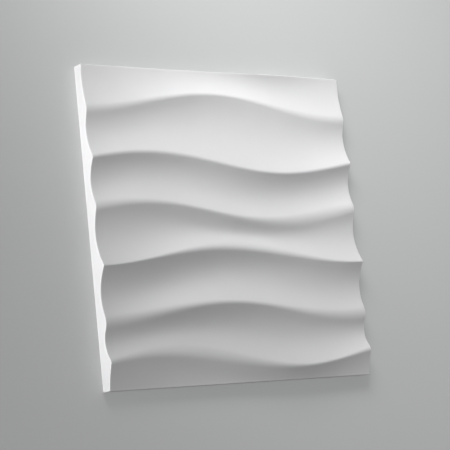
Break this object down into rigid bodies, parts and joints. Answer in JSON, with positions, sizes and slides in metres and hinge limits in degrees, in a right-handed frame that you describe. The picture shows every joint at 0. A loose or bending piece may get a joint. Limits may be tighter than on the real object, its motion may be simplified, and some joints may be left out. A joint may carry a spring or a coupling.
{
  "type": "3d wall panel tile",
  "caption": "Square cast gypsum wall tile with a flat back and a face of wavy crests and scooped flutes that carry on into the tiles around it.",
  "frame": {"origin": "middle of the flat back", "axes": "+X along the waves, +Y up the wall, +Z out of the face"},
  "size_m": [0.5, 0.5, 0.0381],
  "materials": {
    "gypsum": "matte"
  },
  "bodies": {
    "root": {"panel": "gypsum"}
  },
  "joints": []
}
